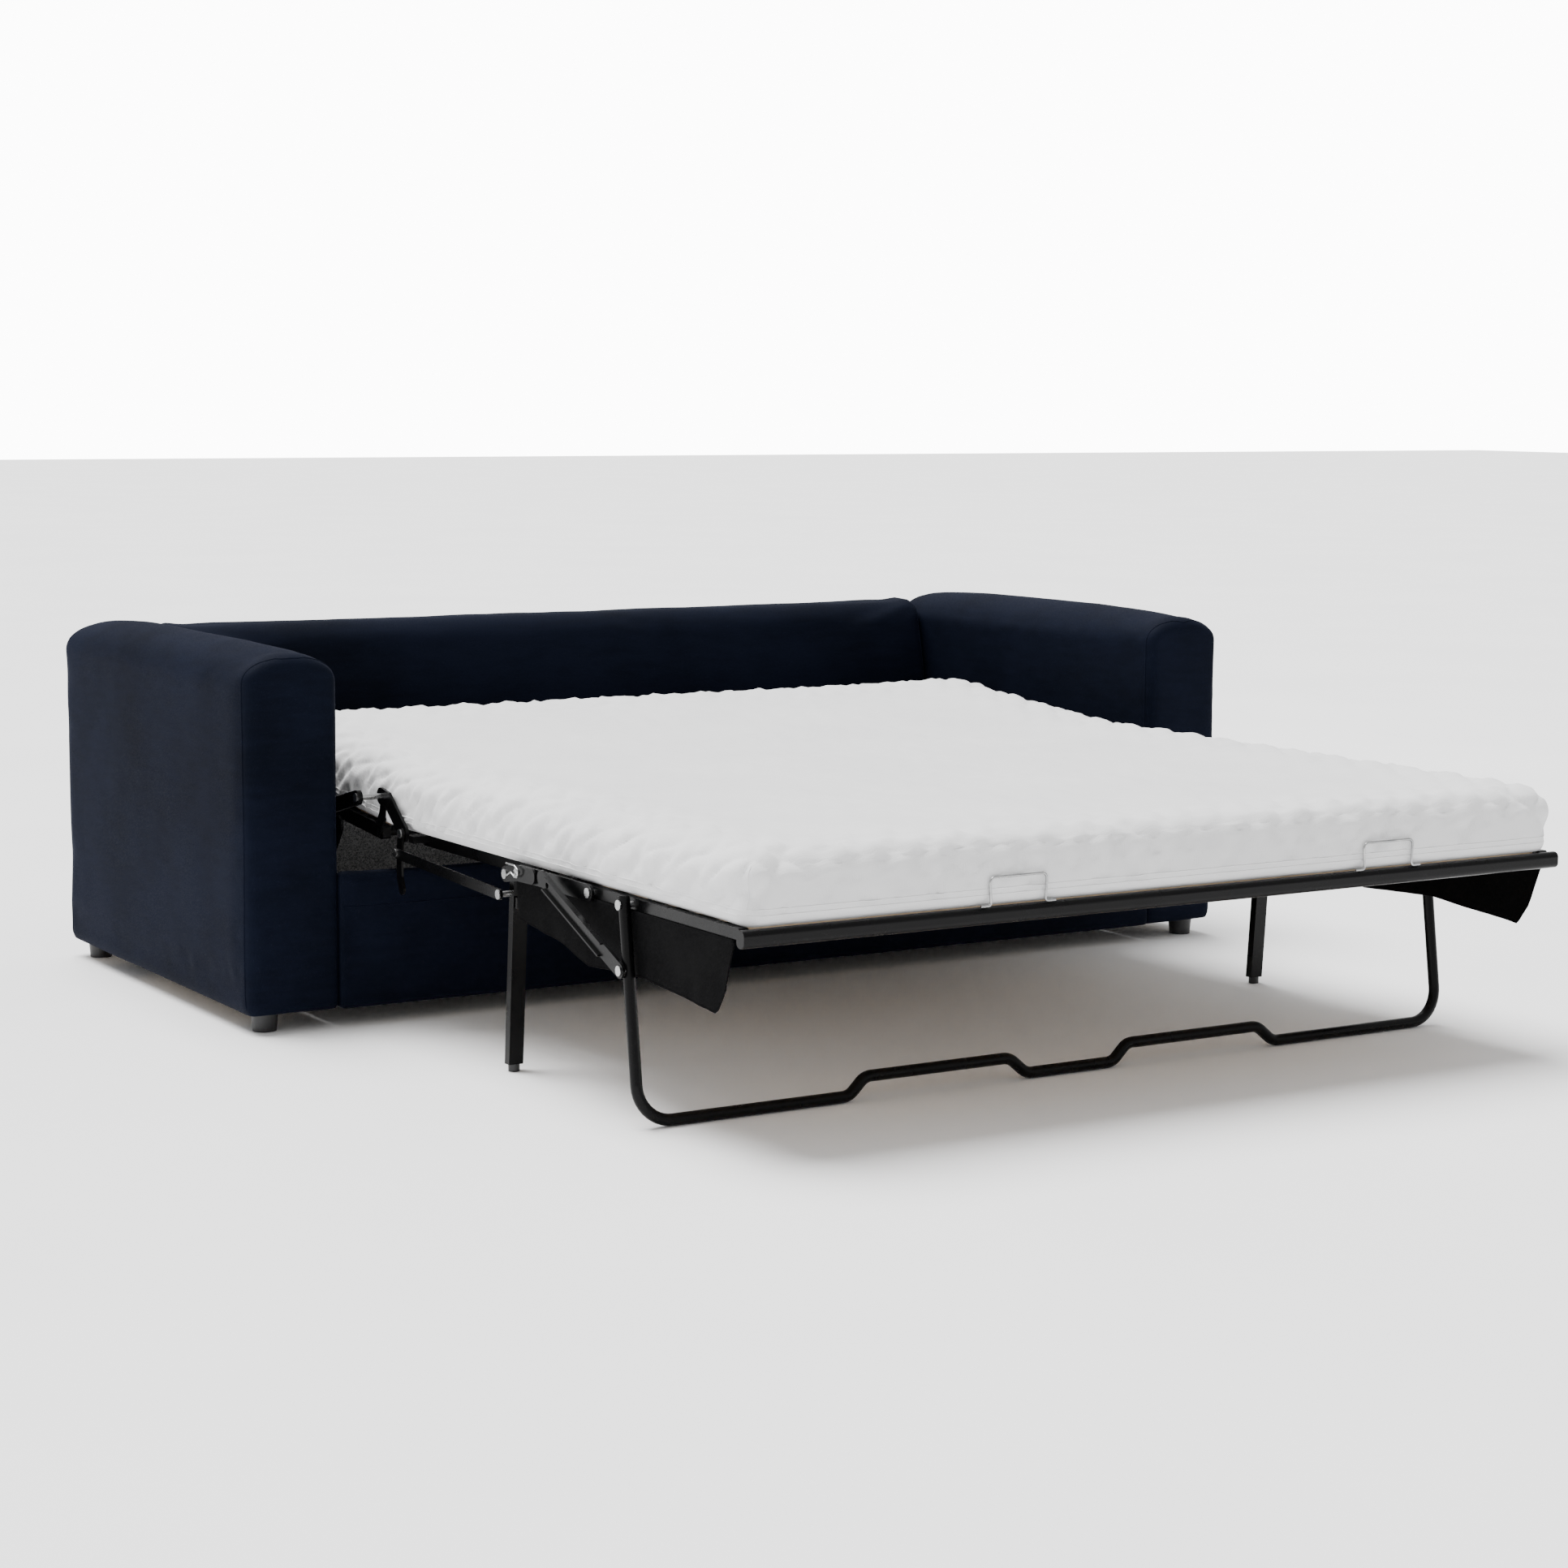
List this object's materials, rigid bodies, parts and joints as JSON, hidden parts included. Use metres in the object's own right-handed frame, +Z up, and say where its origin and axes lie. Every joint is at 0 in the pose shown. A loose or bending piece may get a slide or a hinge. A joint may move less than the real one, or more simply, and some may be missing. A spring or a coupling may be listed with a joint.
{
  "type": "sofa bed",
  "caption": "Open pull-out sofa bed: narrow-armed velvet sofa with a folding steel bed frame, drop-down legs, slatted deck and a thin mattress that folds into the seat well.",
  "frame": {"origin": "on the floor under the middle of the opened sofa bed's bounding box", "axes": "+X across the sofa to its left as a sitter sees it, +Y from the foot of the bed to the sofa's back, +Z up"},
  "size_m": [2.12, 2.151, 0.655],
  "materials": {
    "navy_velvet": "short-pile velvet",
    "timber": "planed softwood and plywood",
    "liner_cloth": "speckled non-woven liner",
    "black_plastic": "moulded",
    "black_paint": "glossy stove enamel",
    "bright_steel": "zinc plated",
    "slat_wood": "lacquered beech ply",
    "mattress_cover": "white quilted knit",
    "black_fabric": "woven flap"
  },
  "bodies": {
    "sofa": {"arm_cover_left": "navy_velvet", "arm_cover_right": "navy_velvet", "arm_frame_left": "timber", "arm_frame_right": "timber", "back_cover": "navy_velvet", "back_frame": "timber", "front_cover": "navy_velvet", "front_board": "timber", "well_liner": "liner_cloth", "sofa_feet": "black_plastic", "mount_plate_left": "black_paint", "mount_plate_right": "black_paint", "lift_pins": "bright_steel"},
    "lift_arms": {"lift_arm_left": "black_paint", "lift_arm_right": "black_paint"},
    "middle_section": {"middle_rail_left": "black_paint", "middle_rail_right": "black_paint", "middle_tubes": "black_paint", "middle_slats": "slat_wood", "hinge_plate_left": "black_paint", "hinge_plate_right": "black_paint", "clip_plate_left": "black_paint", "clip_plate_right": "black_paint", "frame_pins": "bright_steel", "r_clips": "bright_steel", "mattress_middle": "mattress_cover", "mattress_head_fold": "mattress_cover"},
    "head_section": {"head_rail_left": "black_paint", "head_rail_right": "black_paint", "head_tubes": "black_paint", "head_slats": "slat_wood", "mattress_head": "mattress_cover"},
    "fold_links": {"fold_link_left": "black_paint", "fold_link_right": "black_paint", "mattress_fold": "mattress_cover"},
    "foot_section": {"foot_rail_left": "black_paint", "foot_rail_right": "black_paint", "foot_end_rail": "black_paint", "foot_tube": "black_paint", "foot_slats": "slat_wood", "foot_pins": "bright_steel", "mattress_retainers": "bright_steel", "side_flap_left": "black_fabric", "side_flap_right": "black_fabric", "mattress_foot": "mattress_cover"},
    "foot_leg": {"foot_leg": "black_paint", "drive_pins": "bright_steel"},
    "drive_links": {"drive_link_left": "black_paint", "drive_link_right": "black_paint"},
    "cranks": {"crank_left": "black_paint", "crank_right": "black_paint", "bar_pins": "bright_steel"},
    "leg_bars": {"leg_bar_left": "black_paint", "leg_bar_right": "black_paint"},
    "middle_legs": {"middle_leg_left": "black_paint", "middle_leg_right": "black_paint", "leg_glides": "black_plastic", "leg_cross_bar": "black_paint", "leg_pins": "bright_steel"}
  },
  "joints": [
    {"name": "bed_fold", "type": "hinge", "parent": "sofa", "child": "lift_arms", "pos_m": [0, 0.4706, 0.2752], "axis": [-1, 0, 0], "range_deg": [0, 183]},
    {"name": "middle_carry", "type": "hinge", "parent": "lift_arms", "child": "middle_section", "pos_m": [0, 0.1545, 0.403], "axis": [-1, 0, 0], "range_deg": [-183.01, 0]},
    {"name": "head_tilt", "type": "hinge", "parent": "middle_section", "child": "head_section", "pos_m": [0, 0.1545, 0.403], "axis": [-1, 0, 0], "range_deg": [-87.01, 0], "deforming": ["mattress_head_fold"]},
    {"name": "front_fold", "type": "hinge", "parent": "middle_section", "child": "fold_links", "pos_m": [0, -0.3805, 0.339], "axis": [-1, 0, 0], "range_deg": [0, 90.01], "deforming": ["mattress_fold"]},
    {"name": "foot_fold", "type": "hinge", "parent": "fold_links", "child": "foot_section", "pos_m": [0, -0.6135, 0.339], "axis": [-1, 0, 0], "range_deg": [0, 90.01], "deforming": ["side_flap_left", "side_flap_right"]},
    {"name": "foot_leg_fold", "type": "hinge", "parent": "foot_section", "child": "foot_leg", "pos_m": [0, -0.7385, 0.339], "axis": [-1, 0, 0], "range_deg": [0, 74.01]},
    {"name": "drive_link_swing", "type": "hinge", "parent": "foot_leg", "child": "drive_links", "pos_m": [0, -0.7528, 0.241], "axis": [-1, 0, 0], "range_deg": [-73.36, 0]},
    {"name": "crank_swing", "type": "hinge", "parent": "middle_section", "child": "cranks", "pos_m": [0, 0.0615, 0.348], "axis": [-1, 0, 0], "range_deg": [-86.01, 0]},
    {"name": "leg_bar_swing", "type": "hinge", "parent": "cranks", "child": "leg_bars", "pos_m": [0, 0.0675, 0.314], "axis": [-1, 0, 0], "range_deg": [0, 86.01]},
    {"name": "middle_leg_fold", "type": "hinge", "parent": "middle_section", "child": "middle_legs", "pos_m": [0, -0.3375, 0.332], "axis": [-1, 0, 0], "range_deg": [-86.01, 0]}
  ],
  "couplings": [
    {"joint": "middle_carry", "follows": "bed_fold", "ratio": -1},
    {"joint": "head_tilt", "follows": "bed_fold", "ratio": -0.47541},
    {"joint": "front_fold", "follows": "bed_fold", "ratio": 0.4918},
    {"joint": "foot_fold", "follows": "bed_fold", "ratio": 0.4918},
    {"joint": "foot_leg_fold", "follows": "bed_fold", "ratio": 0.40437},
    {"joint": "drive_link_swing", "follows": "bed_fold", "ratio": -0.40082},
    {"joint": "crank_swing", "follows": "bed_fold", "ratio": -0.46995},
    {"joint": "leg_bar_swing", "follows": "bed_fold", "ratio": 0.46995},
    {"joint": "middle_leg_fold", "follows": "bed_fold", "ratio": -0.46995}
  ]
}
